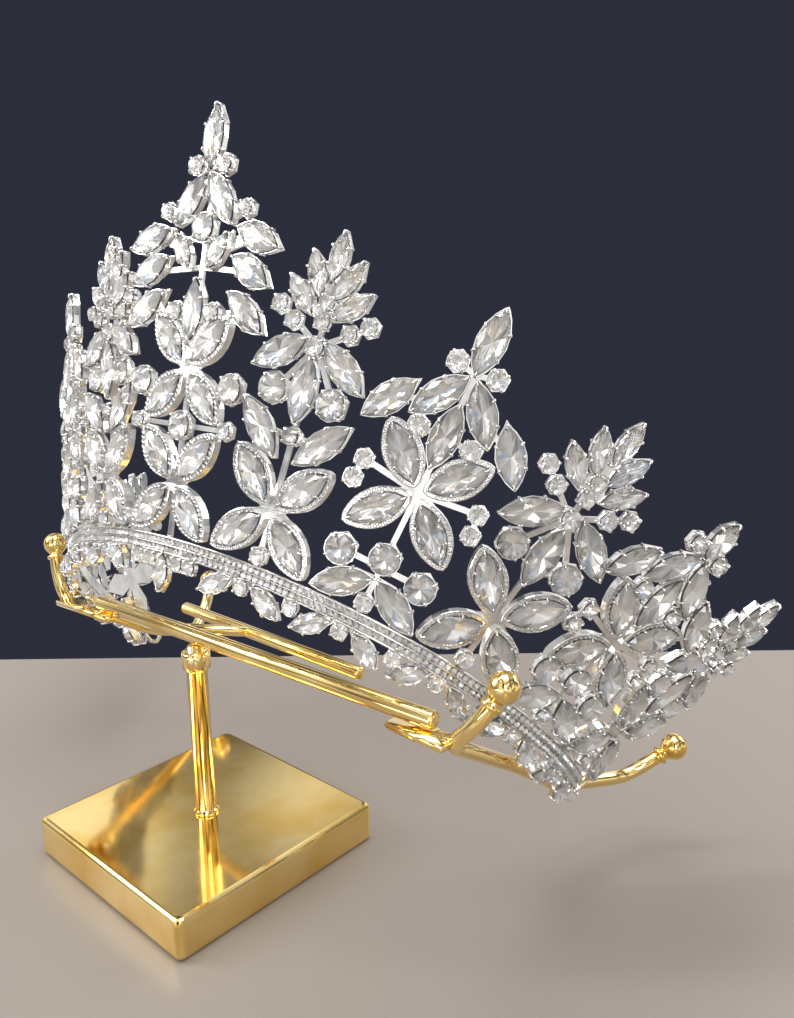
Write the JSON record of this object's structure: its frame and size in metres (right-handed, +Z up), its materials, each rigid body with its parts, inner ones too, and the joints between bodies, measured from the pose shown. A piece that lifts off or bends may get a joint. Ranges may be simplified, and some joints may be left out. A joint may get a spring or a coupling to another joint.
{
  "type": "crystal crown on a display stand",
  "caption": "Tall open-backed crown of clear cut stones in silver settings, resting tilted back on a plain gold bar stand with a square base.",
  "frame": {"origin": "centre of the stand plate's flat underside, on the table", "axes": "+Z up along the rod; the crown's front faces -Y and its sides point along +X and -X"},
  "size_m": [0.2343, 0.1195, 0.1903],
  "materials": {
    "gold": "polished gold plating",
    "silver": "polished silver plating",
    "crystal": "clear cut glass with a foil back"
  },
  "bodies": {
    "root": {"stand_base": "gold", "stand_rod": "gold", "stand_spine": "gold", "stand_rear_bar": "gold", "stand_arm_near": "gold", "stand_arm_far": "gold", "crown_frame": "silver", "tip_navettes": "crystal", "fan_navettes": "crystal", "tripod_navettes": "crystal", "petal_navettes": "crystal", "pendant_navettes": "crystal", "large_rounds": "crystal", "small_rounds": "crystal"}
  },
  "joints": []
}
